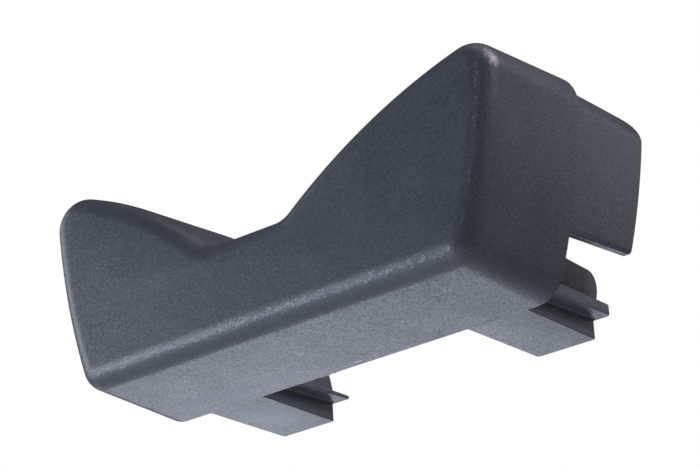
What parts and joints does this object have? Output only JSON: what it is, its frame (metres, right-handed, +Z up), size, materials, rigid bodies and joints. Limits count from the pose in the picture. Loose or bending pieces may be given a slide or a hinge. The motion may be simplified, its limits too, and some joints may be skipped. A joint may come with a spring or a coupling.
{
  "type": "profile end cap",
  "caption": "Moulded end cap for a saddle-shaped rail: hollow shell with two horns and a valley, side tabs, and T-shaped feet that slide into slots.",
  "frame": {"origin": "middle of the rim's lower edge, in the plane where the rim meets the rail's cut end", "axes": "+X across the rail towards the horn whose foot lies further from the middle, +Y into the rail, +Z up towards the horn tips"},
  "size_m": [0.08, 0.0361, 0.0315],
  "materials": {
    "cap_plastic": "dark blue-grey plastic with a fine moulded grain and a low sheen"
  },
  "bodies": {
    "root": {"end_cap": "cap_plastic"}
  },
  "joints": []
}
